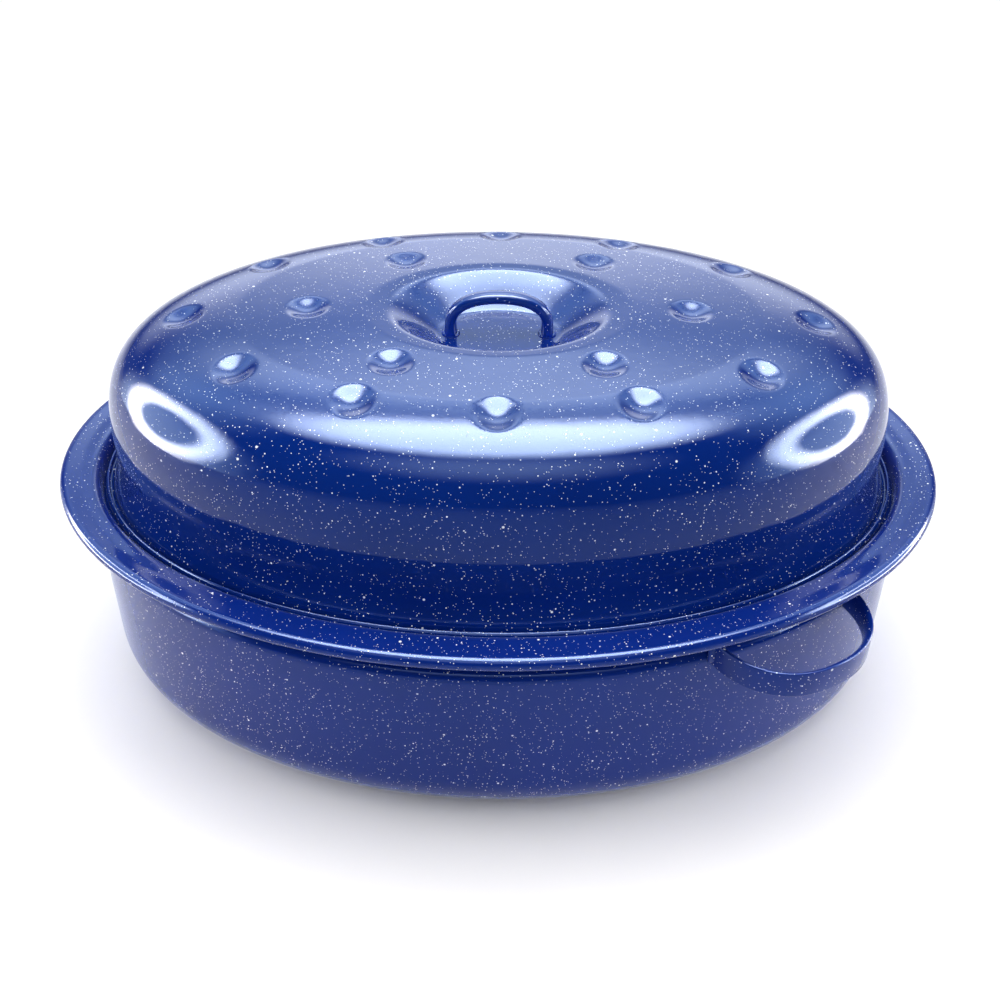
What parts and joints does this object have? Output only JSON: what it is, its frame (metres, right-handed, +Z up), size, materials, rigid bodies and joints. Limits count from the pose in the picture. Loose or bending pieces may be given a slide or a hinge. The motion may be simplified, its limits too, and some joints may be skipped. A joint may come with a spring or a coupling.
{
  "type": "water bath canner",
  "caption": "Oval covered canner and roaster in speckled enamelled steel: deep pan with rolled rim, high dimpled dome lid with a sunk grab handle, strap side handles and a lift-out jar rack.",
  "frame": {"origin": "centre of the pan's bottom face, on the table", "axes": "+X along the length of the oval, +Y across it away from the front, +Z up"},
  "size_m": [0.48, 0.335, 0.2312],
  "materials": {
    "pan_enamel": "gloss",
    "lid_enamel": "gloss",
    "handle_enamel": "gloss",
    "plated_wire": "satin"
  },
  "bodies": {
    "pan": {"pan_shell": "pan_enamel", "side_handle_right": "handle_enamel", "side_handle_left": "handle_enamel"},
    "lid": {"lid_shell": "lid_enamel", "lid_handle": "handle_enamel"},
    "rack": {"rack_rim_wire": "plated_wire", "rack_runner_wires": "plated_wire", "rack_cross_wires": "plated_wire", "rack_feet": "plated_wire", "rack_lift_handle_right": "plated_wire", "rack_lift_handle_left": "plated_wire"}
  },
  "joints": [
    {"name": "lid_lift", "type": "slide", "parent": "pan", "child": "lid", "axis": [0, 0, 1], "range_m": [0, 0.16]},
    {"name": "rack_lift", "type": "slide", "parent": "pan", "child": "rack", "axis": [0, 0, 1], "range_m": [0, 0.09]}
  ]
}
